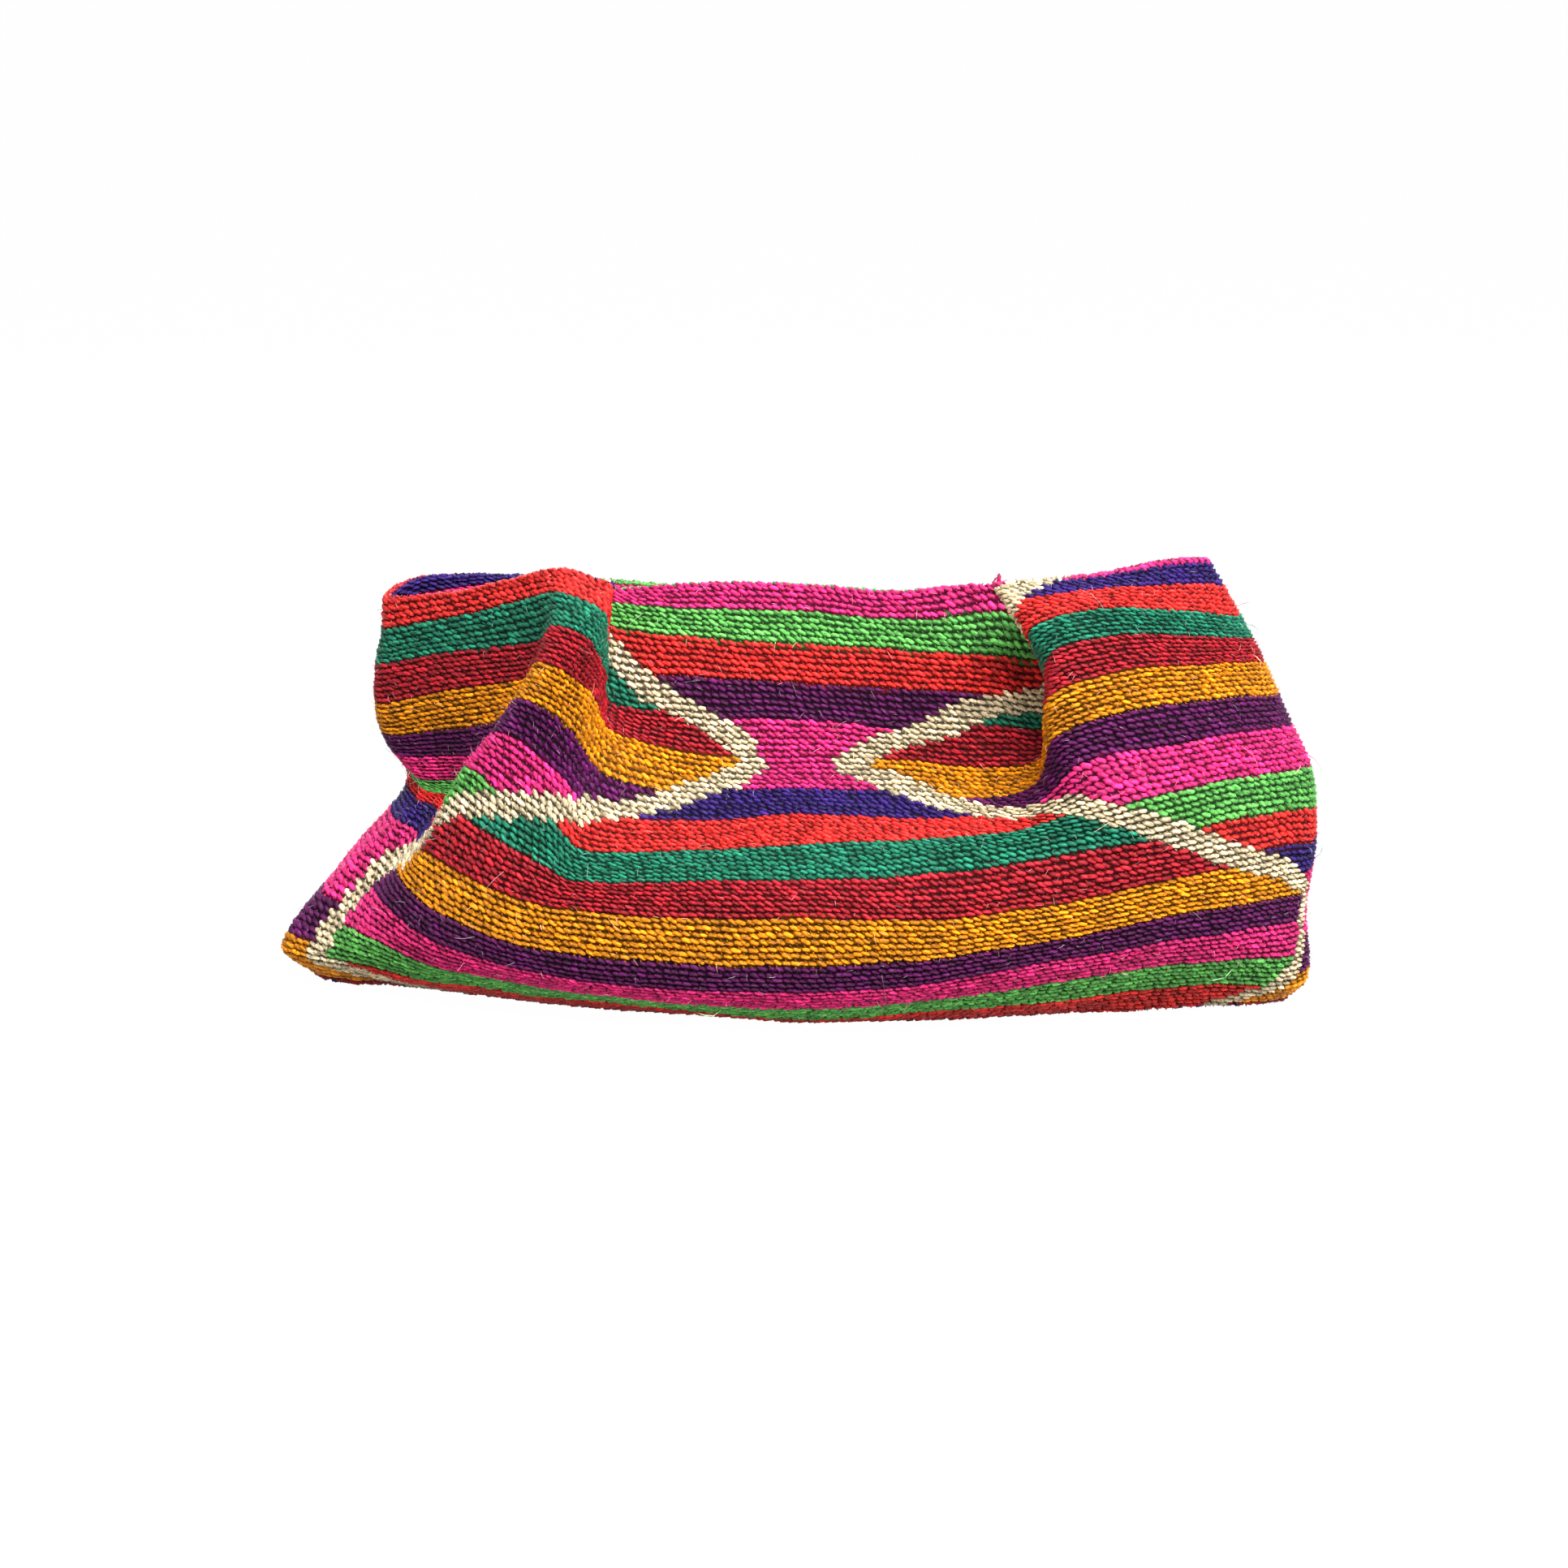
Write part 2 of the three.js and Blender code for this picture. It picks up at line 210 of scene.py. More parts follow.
def smooth(places, values, at, pick=None):
    """Values at some places along a smooth curve through given values; pick says which column each uses."""
    slopes = np.empty_like(values)
    reach = (places[2:] - places[:-2]).reshape(-1, *[1] * (values.ndim - 1))
    slopes[1:-1] = (values[2:] - values[:-2]) / reach
    slopes[0] = (values[1] - values[0]) / (places[1] - places[0])
    slopes[-1] = (values[-1] - values[-2]) / (places[-1] - places[-2])
    i = np.clip(np.searchsorted(places, at, side="right") - 1, 0, len(places) - 2)
    here, after = ((i,), (i + 1,)) if pick is None else ((i, pick), (i + 1, pick))
    span = places[i + 1] - places[i]
    t = (at - places[i]) / span
    if values[here].ndim > 1:
        t, span = t[:, None], span[:, None]
    return (values[here] * (1 + 2 * t) * (1 - t) ** 2 + slopes[here] * t * (1 - t) ** 2 * span
            + values[after] * t ** 2 * (3 - 2 * t) + slopes[after] * t ** 2 * (t - 1) * span)


def unit(vectors):
    return vectors / np.maximum(np.linalg.norm(vectors, axis=-1, keepdims=True), 1e-12)


def within_round(stitch):
    """The same stitches, numbered up to half a round either way from the middle of the front."""
    return (np.asarray(stitch, float) + ROUND / 2) % ROUND - ROUND / 2


class Fabric:
    """The bag's outer surface: where each stitch of each row lies."""

    SAMPLES = 400  # points kept on each wale line
    NEAR = 0.7  # stitches and rows to each side that the wall's direction is taken from

    def __init__(self, sizes):
        scale = np.array((sizes.length / 200, sizes.depth / 200, sizes.height / 100))
        numbers = np.array([stitch for stitch, _ in WALES], float)
        rims = np.array([points[-1][0] for _, points in WALES], float)
        lines = []
        for _, points in WALES:
            points = np.array(points, float)
            rows = np.linspace(points[0, 0], points[-1, 0], self.SAMPLES)
            lines.append(smooth(points[:, 0], points[:, 1:] * scale, rows))
        lines = np.array(lines)
        # Two lines are repeated at each end, so that the round closes smoothly.
        self.numbers = np.concatenate([numbers[-2:] - ROUND, numbers, numbers[:2] + ROUND])
        self.rims = np.concatenate([rims[-2:], rims, rims[:2]])
        self.lines = np.concatenate([lines[-2:], lines, lines[:2]])
        self.sizes = sizes

    def rim(self, stitch):
        """Row at which the rim turns in."""
        return smooth(self.numbers, self.rims, within_round(stitch))

    def wall_point(self, stitch, row):
        stitch = within_round(stitch)
        share = (row - BASE_ROW) / (self.rim(stitch) - BASE_ROW) * (self.SAMPLES - 1)
        low = np.clip(share.astype(int), 0, self.SAMPLES - 2)
        part = (share - low)[None, :, None]
        lines = self.lines[:, low] * (1 - part) + self.lines[:, low + 1] * part
        return smooth(self.numbers, lines, stitch, np.arange(len(stitch)))

    def wall_normal(self, stitch, row):
        across = self.wall_point(stitch + self.NEAR, row) - self.wall_point(stitch - self.NEAR, row)
        top = np.minimum(row + self.NEAR, self.rim(stitch))
        upward = self.wall_point(stitch, top) - self.wall_point(stitch, row - self.NEAR)
        return unit(np.cross(across, upward))

    def point(self, stitch, row):
        """Points of the wall, and past the rim of the lip that is rolled over and turned in."""
        stitch = np.asarray(stitch, float)
        row = np.asarray(row, float)
        rim = self.rim(stitch)
        past = np.maximum(row - rim, 0) * self.sizes.row_height
        result = self.wall_point(stitch, np.minimum(row, rim))
        over = past > 0
        if over.any():
            stitch, rim, past, roll = stitch[over], rim[over], past[over], self.sizes.roll
            top = result[over]
            out = self.wall_normal(stitch, rim)
            rise = unit(top - self.wall_point(stitch, rim - 1))
            angle = np.minimum(past / roll, math.pi)[:, None]
            rolled = top + roll * ((np.cos(angle) - 1) * out + np.sin(angle) * rise)
            down = np.maximum(past / self.sizes.row_height - math.pi * roll / self.sizes.row_height, 0)
            inner = self.wall_point(stitch, rim - down) - 2 * roll * self.wall_normal(stitch, rim - down)
            result[over] = np.where((down > 0)[:, None], inner, rolled)
        return result

    def frame(self, stitch, row):
        """Points with the step to the next stitch, the step to the next row and the outward direction."""
        across = self.point(stitch + 0.5, row) - self.point(stitch - 0.5, row)
        upward = self.point(stitch, row + 0.5) - self.point(stitch, row - 0.5)
        return self.point(stitch, row), across, upward, unit(np.cross(across, upward))


def cream_line(points, widths, row):
    """Middle of a cream line at some rows, and half its width there, both in stitches."""
    rows, stitches = np.array(points, float).T
    middle, above, below = (np.interp(row + step, rows, stitches) for step in (0.0, 0.5, -0.5))
    slope = (np.abs(above - below) + np.abs(above - middle) + np.abs(middle - below)) / 2
    return middle, np.interp(row, *np.array(widths).T) * np.sqrt(1 + (SLANT * slope) ** 2)


def sway(stitch, row):
    """Rows by which the hand-made rounds wander up and down."""
    return sum(rows * np.sin(by_stitch * stitch + by_row * row) for rows, by_stitch, by_row in WAVES)


def yarn_at(stitch, row):
    """Index into YARNS of the yarn that makes each stitch. The back mirrors the front."""
    turned = within_round(stitch)
    from_middle = np.minimum(np.abs(turned), ROUND / 2 - np.abs(turned))
    left, right = cream_line(LEFT_LINE, LEFT_WIDTHS, row), cream_line(RIGHT_LINE, RIGHT_WIDTHS, row)
    line, half = (np.where(turned < 0, a, b) for a, b in zip(left, right))
    line = np.where(np.abs(turned) > ROUND / 4, np.minimum(line, BACK_REACH), line)

    def stripes(table):
        stops = np.array([stop for _, stop in table])
        names = np.array([YARNS.index(name) for name, _ in table])
        return names[np.minimum(np.searchsorted(stops, row, side="right"), len(table) - 1)]

    yarn = np.where(from_middle < line, stripes(FRONT_STRIPES), stripes(SIDE_STRIPES))
    return np.where(np.abs(from_middle - line) < half, YARNS.index("cream"), yarn)


def yarn_colours(stitch, row, yarns):
    palette = np.array([tuple(getattr(yarns, name)) for name in YARNS])
    return palette[yarn_at(stitch, row)]


class Socket:
    """A node socket that takes part in Python expressions."""

    def __init__(self, shader, socket):
        self.shader, self.socket = shader, socket

    def _math(self, operation, *values):
        return self.shader.node("ShaderNodeMath", {"operation": operation}, dict(enumerate(values)))

    def __add__(self, other):
        return self._math("ADD", self, other)

    def __sub__(self, other):
        return self._math("SUBTRACT", self, other)

    def __rsub__(self, other):
        return self._math("SUBTRACT", other, self)

    def __mul__(self, other):
        return self._math("MULTIPLY", self, other)

    __radd__ = __add__
    __rmul__ = __mul__


class Shader:
    """The nodes of a new material or world, added by name."""

    def __init__(self, owner):
        self.owner = owner
        owner.use_nodes = True
        self.tree = owner.node_tree
        self.tree.nodes.clear()

    def node(self, kind, settings=None, values=None, output=0):
        """The named output of a new node, with its settings made before its sockets are set or linked."""
        made = self.tree.nodes.new(kind)
        for name, value in (settings or {}).items():
            setattr(made, name, value)
        for key, value in (values or {}).items():
            if isinstance(value, Socket):
                self.tree.links.new(value.socket, made.inputs[key])
            else:
                made.inputs[key].default_value = value
        return None if output is None else Socket(self, made.outputs[output])

    def attribute(self, name, output="Fac"):
        return self.node("ShaderNodeAttribute", {"attribute_name": name}, output=output)

    def scaled(self, colour, factor):
        return self.node("ShaderNodeVectorMath", {"operation": "SCALE"}, {0: colour, "Scale": factor})

    def finish(self, surface, end="ShaderNodeOutputMaterial"):
        self.node(end, values={"Surface": surface}, output=None)
        return self.owner


def yarn_material():
    """Twisted plant fibre: streaks along each grain with painted glints, and painted shade where a grain dips
    into the fabric.
    """
    s = Shader(bpy.data.materials.new(YARN_MATERIAL))
    colour = s.attribute("yarn", "Color")
    tone, rise, along, around = (s.attribute(name) for name in ("tone", "rise", "along", "around"))
    place = s.node("ShaderNodeCombineXYZ", values={
        "X": along * 2.0 + tone * 37.0, "Y": around * 4.0, "Z": tone * 91.0})  # its own streaks for each tone
    streak = s.node("ShaderNodeTexNoise", values={
        "Vector": place, "Scale": 1.6, "Detail": 3.0, "Roughness": 0.6})
    painted_gap_shade = 0.05 + 1.18 * rise  # painted shade, nearly black in the gaps between the rounds and between grains
    dye_and_painted_glint = 0.6 + 1.3 * tone * tone  # dye that took unevenly; squared, so that a few stitches are painted brighter as a glint
    strands_and_painted_glints = 3.6 * streak - 0.8  # pale and dark strands in one grain, with painted glints on the pale ones
    bump = s.node("ShaderNodeBump", values={"Strength": 0.8, "Distance": 0.0006, "Height": streak})
    return s.finish(s.node("ShaderNodeBsdfPrincipled", values={
        "Base Color": s.scaled(colour, painted_gap_shade * dye_and_painted_glint * strands_and_painted_glints),
        "Roughness": 0.75 - 0.6 * streak, "Normal": bump, "Specular IOR Level": 0.25}))


def ground_material():
    """The fabric behind the stitches, with the rounds showing as low ribs, drawn with painted shade that is
    darkest between the rounds.
    """
    s = Shader(bpy.data.materials.new("dyed_fibre_ground"))
    colour = s.attribute("yarn", "Color")
    cell = s.node("ShaderNodeUVMap", {"uv_map": "Fabric"})
    grain = s.node("ShaderNodeTexNoise", values={
        "Vector": cell, "Scale": 2.4, "Detail": 4.0, "Roughness": 0.65})
    one_rib_a_round = math.pi / 10 / ROUND_STEP
    ribs = s.node("ShaderNodeTexWave", {"wave_type": "BANDS", "bands_direction": "Y", "wave_profile": "SIN"},
                  {"Vector": cell, "Scale": one_rib_a_round, "Distortion": 0.2, "Detail": 1.0}, output="Fac")
    # painted shade: the fabric behind the stitches is drawn dark, mottled by its grain, and darkest between the
    # rounds
    grain_and_painted_shade = 0.2 + 0.5 * grain
    painted_rib_shade = 0.1 + 0.8 * ribs
    bump = s.node("ShaderNodeBump", values={"Strength": 0.7, "Distance": 0.0012, "Height": ribs + 0.5 * grain})
    return s.finish(s.node("ShaderNodeBsdfPrincipled", values={
        "Base Color": s.scaled(colour, grain_and_painted_shade * painted_rib_shade),
        "Roughness": 0.9, "Normal": bump, "Specular IOR Level": 0.2}))


def add_attribute(mesh, name, kind, domain, values):
    layer = mesh.attributes.new(name, kind, domain)
    field = {"FLOAT": "value", "FLOAT_VECTOR": "vector", "FLOAT_COLOR": "color"}[kind]
    layer.data.foreach_set(field, np.ascontiguousarray(values, np.float32).ravel())


def with_alpha(colours):
    return np.concatenate([colours, np.ones((len(colours), 1))], axis=1)


def new_object(name, data):
    made = bpy.data.objects.new(name, data)
    bpy.context.scene.collection.objects.link(made)
    return made


def set_uv(mesh, name, places):
    """A UV map from one place for each face corner."""
    layer = mesh.uv_layers.new(name=name, do_init=False)
    layer.data.foreach_set("uv", np.ascontiguousarray(places, np.float32).ravel())


def corner_vertices(mesh):
    vertices = np.empty(len(mesh.loops), np.int32)
    mesh.loops.foreach_get("vertex_index", vertices)
    return vertices


def grain_part(start, bend, end, width, height, lean, shares, angles):
    """Corners and faces of one grain of yarn: a dome along a bent line, drawn to a point at both ends.

    The grain stands out by its height, and leans so that its start lies over its neighbour and its end under
    it. Its rise says how far each corner stands clear of the gaps between grains and between rounds, and the
    yarn is drawn with painted shade where the rise is low.
    """
    start, bend, end = np.array(start), np.array(bend), np.array(end)
    corners, along, around, rise = [(*start, lean / 2)], [0.0], [0.5], [START_RISE]
    for share in shares:
        swell = math.sin(math.pi * share) ** PLUMP
        middle = (1 - share) ** 2 * start + 2 * share * (1 - share) * bend + share ** 2 * end
        line = (1 - share) * (bend - start) + share * (end - bend)
        side = np.array((-line[1], line[0])) / np.hypot(*line)
        for k, angle in enumerate(angles):
            spread, lift = math.cos(math.radians(angle)), math.sin(math.radians(angle))
            flat = middle + side * width * swell * spread
            in_round = max(1 - (flat[1] / ROUND_EDGE) ** 2, 0.0)
            corners.append((*flat, height * swell * lift + lean * (0.5 - share)))
            along.append(share)
            around.append(k / len(angles))
            rise.append(CROWN_RISE * max(lift, 0.0) + ROUND_RISE * in_round)
    corners.append((*end, -lean / 2))
    along.append(1.0)
    around.append(0.5)
    rise.append(END_RISE)
    n, rings = len(angles), len(shares)
    faces = []
    for k in range(n):
        after = (k + 1) % n
        faces.append((0, 1 + k, 1 + after))
        for ring in range(rings - 1):
            low = 1 + ring * n
            faces.append((low + k, low + n + k, low + n + after, low + after))
        last = 1 + (rings - 1) * n
        faces.append((last + k, len(corners) - 1, last + after))
    return corners, faces, along, around, rise


def template_object(name, parts):
    """A shape for Geometry Nodes to repeat."""
    corners, faces, along, around, rise = [], [], [], [], []
    for part in parts:
        first = len(corners)
        corners += part[0]
        faces += [tuple(first + k for k in face) for face in part[1]]
        along += part[2]
        around += part[3]
        rise += part[4]
    mesh = bpy.data.meshes.new(name)
    mesh.from_pydata(corners, [], faces)
    mesh.shade_smooth()
    for key, values in (("along", along), ("around", around), ("rise", rise)):
        add_attribute(mesh, key, "FLOAT", "POINT", values)
    add_attribute(mesh, "local", "FLOAT_VECTOR", "POINT", corners)
    return new_object(name, mesh)


def stitch_tree():
    """Geometry Nodes that set one template on every point, turned and sized by the point's own values."""
    tree = bpy.data.node_groups.new("crochet_stitches", "GeometryNodeTree")
    face = tree.interface
    for name, kind in (("Points", "Geometry"), ("Template", "Object"), ("Yarn", "Material"), ("Turn", "Float"),
                       ("Size spread", "Float"), ("Seed", "Int")):
        face.new_socket(name, in_out="INPUT", socket_type=f"NodeSocket{kind}")
    face.new_socket("Stitches", in_out="OUTPUT", socket_type="NodeSocketGeometry")

    def node(kind, settings=None, **links):
        """A new node; a socket is named with _ for each space, or by _ and its number."""
        made = tree.nodes.new(kind)
        for name, value in (settings or {}).items():
            setattr(made, name, value)
        for name, value in links.items():
            socket = made.inputs[int(name[1:]) if name[0] == "_" else name.replace("_", " ")]
            if isinstance(value, bpy.types.NodeSocket):
                tree.links.new(value, socket)
            else:
                socket.default_value = value
        return made

    def named(name):
        kind = {"data_type": "FLOAT_VECTOR"}
        return node("GeometryNodeInputNamedAttribute", kind, Name=name).outputs["Attribute"]

    def maths(operation, first, second):
        return node("ShaderNodeMath", {"operation": operation}, _0=first, _1=second).outputs[0]

    def drawn(low, high, seed):
        return node("FunctionNodeRandomValue", {"data_type": "FLOAT"}, _2=low, _3=high, Seed=seed).outputs[1]

    start = node("NodeGroupInput").outputs
    shape = node("GeometryNodeObjectInfo", Object=start["Template"]).outputs["Geometry"]
    axes = node("FunctionNodeAxesToRotation", {"primary_axis": "Z", "secondary_axis": "X"},
                Primary_Axis=named("outward"), Secondary_Axis=named("across")).outputs[0]
    angle = drawn(maths("MULTIPLY", start["Turn"], -1.0), start["Turn"], start["Seed"])
    spin = node("FunctionNodeAxisAngleToRotation", Axis=(0.0, 0.0, 1.0), Angle=angle).outputs[0]
    turned = node("FunctionNodeRotateRotation", {"rotation_space": "LOCAL"}, Rotation=axes,
                  Rotate_By=spin).outputs[0]
    factor = drawn(maths("SUBTRACT", 1.0, start["Size spread"]), maths("ADD", 1.0, start["Size spread"]),
                   maths("ADD", start["Seed"], 1.0))
    size = node("ShaderNodeVectorMath", {"operation": "SCALE"}, _0=named("size"), Scale=factor).outputs[0]
    points = node("GeometryNodeMeshToPoints", Mesh=start["Points"]).outputs[0]
    repeated = node("GeometryNodeInstanceOnPoints", Points=points, Instance=shape, Rotation=turned,
                    Scale=size).outputs[0]
    real = node("GeometryNodeRealizeInstances", Geometry=repeated).outputs[0]
    done = node("GeometryNodeSetMaterial", Geometry=real, Material=start["Yarn"]).outputs[0]
    tree.links.new(done, node("NodeGroupOutput").inputs["Stitches"])
    return tree


def repeat_on_points(name, values, template, material, turn, spread, seed):
    """One plain mesh of a template repeated on points. Values hold each point's place and attributes."""
    mesh = bpy.data.meshes.new(name)
    mesh.vertices.add(len(values["place"]))
    mesh.vertices.foreach_set("co", np.ascontiguousarray(values["place"], np.float32).ravel())
    for key, kind in (("across", "FLOAT_VECTOR"), ("outward", "FLOAT_VECTOR"), ("size", "FLOAT_VECTOR"),
                      ("cell", "FLOAT_VECTOR"), ("yarn", "FLOAT_COLOR"), ("tone", "FLOAT")):
        add_attribute(mesh, key, kind, "POINT", values[key])
    holder = new_object(name, mesh)
    tree = bpy.data.node_groups.get("crochet_stitches") or stitch_tree()
    modifier = holder.modifiers.new("Stitches", "NODES")
    modifier.node_group = tree
    inputs = {"Template": template, "Yarn": material, "Turn": turn, "Size spread": spread, "Seed": seed}
    for item in tree.interface.items_tree:
        if item.in_out == "INPUT" and item.name in inputs:
            modifier[item.identifier] = inputs[item.name]
    bpy.context.view_layer.update()
    depsgraph = bpy.context.evaluated_depsgraph_get()
    plain = bpy.data.meshes.new_from_object(holder.evaluated_get(depsgraph), preserve_all_data_layers=True,
                                            depsgraph=depsgraph)
    holder.modifiers.remove(modifier)
    holder.data = plain
    plain.name = name
    bpy.data.meshes.remove(mesh)
    if not plain.polygons:
        raise RuntimeError(f"{name}: Geometry Nodes made no faces")
    places = np.empty(len(plain.vertices) * 3, np.float32)
    plain.vertices.foreach_get("co", places)
    places[2::3] = np.maximum(places[2::3], 0.0)  # the bag's weight presses its stitches flat on the floor
    plain.vertices.foreach_set("co", places)
    return holder


def bake_map(mesh, rows):
    """A map for baked finishes: the fabric laid flat, within the rows of this piece."""
    count = len(mesh.vertices)
    cell, local = np.empty(count * 3, np.float32), np.empty(count * 3, np.float32)
    mesh.attributes["cell"].data.foreach_get("vector", cell)
    mesh.attributes["local"].data.foreach_get("vector", local)
    flat = (cell.reshape(-1, 3) + MAP_SHARE * local.reshape(-1, 3))[:, :2]
    low = np.array((-ROUND / 2, rows[0])) - MAP_MARGIN
    high = np.array((ROUND / 2, rows[1])) + MAP_MARGIN
    set_uv(mesh, "OFBake", ((flat - low) / (high - low))[corner_vertices(mesh)])


def hand_over(piece, *nodes):
    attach(piece, "root")
    if nodes:
        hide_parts(*nodes)


class CLUTCH_OT_ground(bpy.types.Operator):
    """Make the closed fabric of the bag that the stitches stand on"""

    bl_idname = "clutch.ground"
    bl_label = "Ground Fabric"

    FACES_UP = 84  # faces from the base to the end of each side
    OUTSIDE_SUNK = 0.6  # share of a stitch's depth that the outside lies behind the bag's surface
    INSIDE_SUNK = 0.75  # share of the wall's thickness that the inside lies behind that surface
    INSIDE_END = 0.96  # share of the way up to the rim at which the inside ends
    INSIDE_MOVED = 200  # rows by which the inside is moved in the flat map
    INSIDE_FROM = 110  # row of the flat map that parts the outside from the inside
    BASE_SCALE = 330  # stitches to a metre of the base in the flat map
    MAP_EDGE = 0.002  # share of the map for baking left free along its edges
    INSIDE_LIGHT = 2  # how much paler the inside is drawn, which has no stitches over it; this takes back part of the ground's painted shade there

    def execute(self, context):
        sizes, yarns = context.scene.clutch_sizes, context.scene.clutch_yarns
        places, cells = self.rounds(sizes)
        corners = np.concatenate(places)
        index = np.arange(len(corners)).reshape(-1, ROUND)
        after = np.roll(index, -1, axis=1)
        quads = np.stack([index[:-1], after[:-1], after[1:], index[1:]], axis=2).reshape(-1, 4)
        base_faces = [index[0][::-1].tolist(), index[-1].tolist()]
        mesh = bpy.data.meshes.new("crochet_ground")
        mesh.from_pydata(corners.tolist(), [], quads.tolist() + base_faces)
        mesh.shade_smooth()
        vertices = corner_vertices(mesh)
        flat = np.concatenate(cells)[vertices]
        wall = flat[:quads.size].reshape(-1, 4, 2)
        past_seam = (wall[..., 0] == COLUMNS[0]) & (wall[..., 0].max(1, keepdims=True) > 0)
        wall[..., 0] += past_seam * ROUND
        flat[quads.size:] = corners[vertices[quads.size:], :2] * self.BASE_SCALE + (0, self.BASE_SCALE)
        set_uv(mesh, "Fabric", flat)
        low, high = flat.min(0), flat.max(0)
        set_uv(mesh, "OFBake", self.MAP_EDGE + (1 - 2 * self.MAP_EDGE) * (flat - low) / (high - low))
        stitch, row = wall.mean(1).T
        row = np.where(row > self.INSIDE_FROM, row - self.INSIDE_MOVED, row)
        colours = yarn_colours(stitch, row, yarns)
        # the inside takes back part of the painted shade of the ground
        colours[len(colours) // 2:] *= self.INSIDE_LIGHT
        blue = np.array(tuple(yarns.blue))
        colours = np.concatenate([colours, [blue, blue]])
        add_attribute(mesh, "yarn", "FLOAT_COLOR", "FACE", with_alpha(colours))
        mesh.materials.append(ground_material())
        hand_over(new_object("crochet_ground", mesh), POUCH_NODE)
        return {"FINISHED"}

    def rounds(self, sizes):
        """Rounds of corners, up the outside and down the inside, and their places in the flat map."""
        fabric = Fabric(sizes)
        rim = fabric.rim(COLUMNS)
        shares = np.linspace(0, 1, self.FACES_UP + 1)
        places, cells = [], []

        def add_side(reach, shares, sunk, flat_row):
            for share in shares:
                rows = BASE_ROW + reach * share
                point, _, _, outward = fabric.frame(COLUMNS, rows)
                if share == 0:
                    outward = unit(outward * (1, 1, 0))
                    point[:, 2] = sunk
                places.append(point - sunk * outward)
                cells.append(np.stack([COLUMNS, flat_row(rows)], axis=1))

        add_side(rim + sizes.lip_rows - BASE_ROW, shares, self.OUTSIDE_SUNK * sizes.stitch_depth,
                 lambda rows: rows - sway(COLUMNS, rows))
        add_side((rim - BASE_ROW) * self.INSIDE_END, shares[::-1], self.INSIDE_SUNK * sizes.wall,
                 lambda rows: rows + self.INSIDE_MOVED)
        return places, cells


class CLUTCH_OT_stitches(bpy.types.Operator):
    """Set a twisted grain of yarn for every stitch of every round, in bands of rows"""

    bl_idname = "clutch.stitches"
    bl_label = "Crochet Stitches"

    BANDS = (("stitches_lower_belly", -54, -38), ("stitches_upper_belly", -38, -22), ("stitches_fold", -22, -6),
             ("stitches_lobes", -6, 9), ("stitches_rim", 9, 36))
    LEAN = 0.12  # stitches by which each row is shifted over the one below
    JITTER = (0.14, 0.09)  # uneven placing, in stitches and rows
    TURN, SIZE_SPREAD = 0.2, 0.16  # most that a stitch is turned, in radians, and share that its size varies by
    SUNK = 0.85  # share of its depth that a stitch starts behind the bag's surface
    HEIGHTS = (0.001, 0.0036)  # least and greatest height of a stitch, however the fabric is pulled
    ROUND_TONES = (0.2, 0.8, 120)  # range of the tones drawn for whole rounds, and how many are drawn
    ROUND_SHARE, OWN_SHARE = 0.4, 0.6  # shares of the round's tone and of its own in a stitch's tone

    def execute(self, context):
        sizes, yarns = context.scene.clutch_sizes, context.scene.clutch_yarns
        fabric = Fabric(sizes)
        draw = np.random.default_rng(sizes.seed)
        round_tone = draw.uniform(*self.ROUND_TONES)
        template = template_object("stitch_template", (
            grain_part(start=(-0.74, 0.38), bend=(-0.02, 0.09), end=(0.74, -0.38), width=0.41, height=0.95,
                       lean=0.5, shares=(0.26, 0.74), angles=DOME),
            grain_part(start=(-0.30, -0.15), bend=(-0.1, -0.55), end=(0.22, -1.0), width=0.16, height=0.75,
                       lean=0.3, shares=(0.5,), angles=(-10, 90, 190)),
        ))
        material = yarn_material()
        rows = np.arange(BASE_ROW + ROUND_STEP / 2, self.BANDS[-1][2], ROUND_STEP)
        for name, first, stop in self.BANDS:
            rounds = [self.even_round(fabric, row) for row in rows if first <= row < stop]
            stitch, row, flat = (np.concatenate(values) for values in zip(*rounds))
            kept = row < fabric.rim(stitch) + sizes.lip_rows
            stitch, row, flat = stitch[kept], row[kept], flat[kept]
            uneven = draw.uniform(-1, 1, (2, len(row)))
            point, across, upward, outward = fabric.frame(
                stitch + self.JITTER[0] * uneven[0], row + sway(stitch, row) + self.JITTER[1] * uneven[1])
            wide = np.full_like(row, sizes.stitch_width)
            high = np.clip(ROUND_STEP * np.linalg.norm(upward, axis=1), *self.HEIGHTS)
            deep = np.full_like(wide, sizes.stitch_depth)
            rounds_up = ((row - BASE_ROW) / ROUND_STEP).astype(int)
            values = {
                "place": point - self.SUNK * sizes.stitch_depth * outward,
                "across": unit(across), "outward": outward,
                "size": np.stack([wide, high, deep], axis=1),
                "tone": (self.ROUND_SHARE * round_tone[rounds_up]
                         + self.OWN_SHARE * draw.uniform(0, 1, len(row))),
                "cell": np.stack([flat, row, np.zeros_like(row)], axis=1),
                "yarn": with_alpha(yarn_colours(stitch, row, yarns)),
            }
            piece = repeat_on_points(name, values, template, material, self.TURN, self.SIZE_SPREAD, sizes.seed)
            bake_map(piece.data, (first, stop))
            hand_over(piece)
        bpy.data.objects.remove(template)
        return {"FINISHED"}

    def even_round(self, fabric, row):
        """Stitch numbers of one round, evenly spaced along the fabric, with their rows and even places."""
        line = np.linspace(-ROUND / 2, ROUND / 2, 4 * ROUND + 1)
        steps = np.linalg.norm(np.diff(fabric.point(line, np.full_like(line, row)), axis=0), axis=1)
        way = np.concatenate([[0.0], np.cumsum(steps)])
        count = round(way[-1] / fabric.sizes.stitch_width)
        share = (np.arange(count) + self.LEAN * row % 1) / count
        return np.interp(share * way[-1], way, line), np.full(count, row), (share - 0.5) * ROUND


